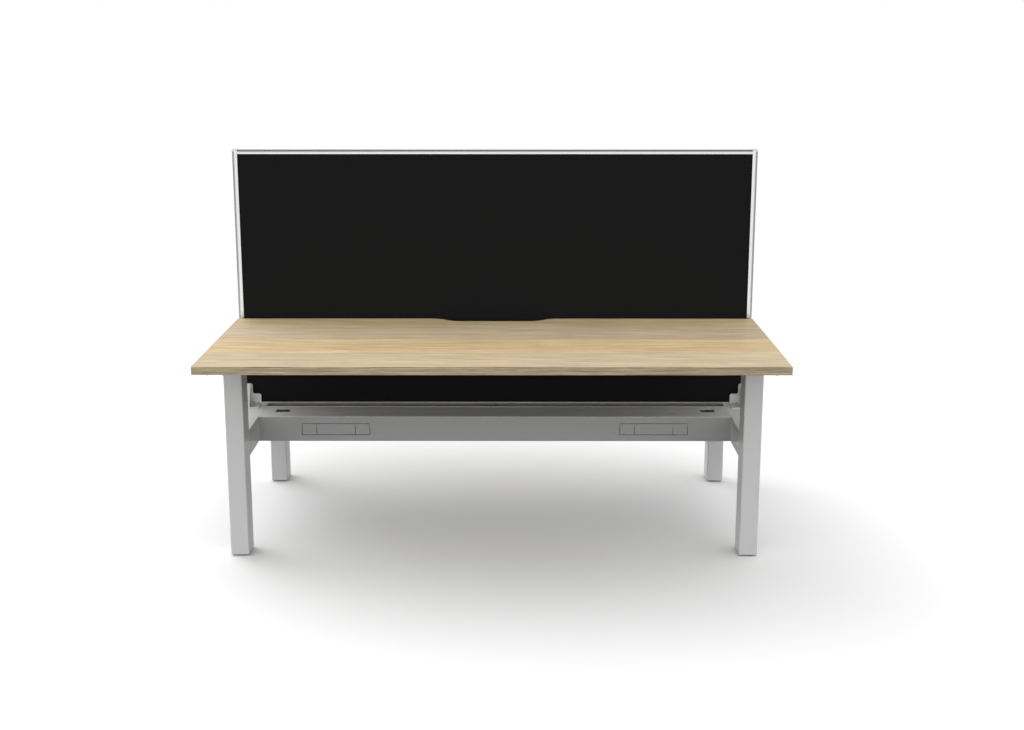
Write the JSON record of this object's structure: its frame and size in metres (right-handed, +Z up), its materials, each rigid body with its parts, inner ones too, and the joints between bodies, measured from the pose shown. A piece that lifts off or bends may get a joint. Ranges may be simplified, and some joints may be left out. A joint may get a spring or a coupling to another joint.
{
  "type": "back-to-back workstation",
  "caption": "Back-to-back office workstation: oak desktops on a silver steel frame with a cable tray and a tall black screen between them.",
  "frame": {"origin": "on the floor, under the middle of the screen", "axes": "+X along the desks to the front sitter's right, +Y from the front desk to the rear desk, +Z up"},
  "size_m": [1.8, 1.548, 1.306],
  "materials": {
    "oak_laminate": "matt oak-grain laminate",
    "oak_edge_band": "oak-grain plastic edge band",
    "silver_powder_coat": "satin silver powder coat on folded steel",
    "grey_powder_coat": "satin grey powder coat on folded steel sheet",
    "anodised_frame": "satin silver anodised extrusion",
    "black_screen_fabric": "black woven screen fabric, stretched",
    "screen_board": "soft fibreboard core inside the screen",
    "pale_cap_plastic": "pale grey moulded caps",
    "black_plastic": "black moulded inserts",
    "foot_steel": "black-plated foot and stud",
    "plated_steel": "zinc-plated fasteners and hinge rods"
  },
  "bodies": {
    "frame": {"beam_bolts": "plated_steel", "bracket_screws": "plated_steel", "cable_tray": "grey_powder_coat", "cover_screws": "plated_steel", "crossbeam_front": "silver_powder_coat", "crossbeam_rear": "silver_powder_coat", "desk_screws": "plated_steel", "desktop_front": "oak_laminate", "desktop_rear": "oak_laminate", "edge_band_front": "oak_edge_band", "edge_band_rear": "oak_edge_band", "end_rail_left": "silver_powder_coat", "end_rail_right": "silver_powder_coat", "foot_insert_front_left": "black_plastic", "foot_insert_front_right": "black_plastic", "foot_insert_rear_left": "black_plastic", "foot_insert_rear_right": "black_plastic", "hinge_rod_front": "plated_steel", "hinge_rod_rear": "plated_steel", "hinge_supports_front": "grey_powder_coat", "hinge_supports_rear": "grey_powder_coat", "leg_bolts": "plated_steel", "leg_front_left": "silver_powder_coat", "leg_front_right": "silver_powder_coat", "leg_nut_plates": "plated_steel", "leg_rear_left": "silver_powder_coat", "leg_rear_right": "silver_powder_coat", "rail_bolts": "plated_steel", "rail_cover_front_left": "silver_powder_coat", "rail_cover_front_right": "silver_powder_coat", "rail_cover_rear_left": "silver_powder_coat", "rail_cover_rear_right": "silver_powder_coat", "screen_bottom_rail": "anodised_frame", "screen_bracket_front_left": "silver_powder_coat", "screen_bracket_front_right": "silver_powder_coat", "screen_bracket_rear_left": "silver_powder_coat", "screen_bracket_rear_right": "silver_powder_coat", "screen_cap_left": "pale_cap_plastic", "screen_cap_right": "pale_cap_plastic", "screen_core": "screen_board", "screen_fabric_front": "black_screen_fabric", "screen_fabric_rear": "black_screen_fabric", "screen_post_left": "anodised_frame", "screen_post_right": "anodised_frame", "screen_top_rail": "anodised_frame", "support_arm_front_left": "silver_powder_coat", "support_arm_front_right": "silver_powder_coat", "support_arm_rear_left": "silver_powder_coat", "support_arm_rear_right": "silver_powder_coat", "tray_bolts": "plated_steel", "tray_spine": "grey_powder_coat"},
    "lid_front": {"tray_lid_front": "silver_powder_coat"},
    "lid_rear": {"tray_lid_rear": "silver_powder_coat"},
    "foot_front_left": {"levelling_foot_front_left": "foot_steel"},
    "foot_front_right": {"levelling_foot_front_right": "foot_steel"},
    "foot_rear_left": {"levelling_foot_rear_left": "foot_steel"},
    "foot_rear_right": {"levelling_foot_rear_right": "foot_steel"}
  },
  "joints": [
    {"name": "front_lid_hinge", "type": "hinge", "parent": "frame", "child": "lid_front", "pos_m": [0, -0.0465, 0.4005], "axis": [-1, 0, 0], "range_deg": [0, 95]},
    {"name": "rear_lid_hinge", "type": "hinge", "parent": "frame", "child": "lid_rear", "pos_m": [0, 0.0465, 0.4005], "axis": [1, 0, 0], "range_deg": [0, 95]},
    {"name": "foot_travel_front_left", "type": "slide", "parent": "frame", "child": "foot_front_left", "axis": [0, 0, -1], "range_m": [0, 0.015]},
    {"name": "foot_travel_front_right", "type": "slide", "parent": "frame", "child": "foot_front_right", "axis": [0, 0, -1], "range_m": [0, 0.015]},
    {"name": "foot_travel_rear_left", "type": "slide", "parent": "frame", "child": "foot_rear_left", "axis": [0, 0, -1], "range_m": [0, 0.015]},
    {"name": "foot_travel_rear_right", "type": "slide", "parent": "frame", "child": "foot_rear_right", "axis": [0, 0, -1], "range_m": [0, 0.015]}
  ]
}
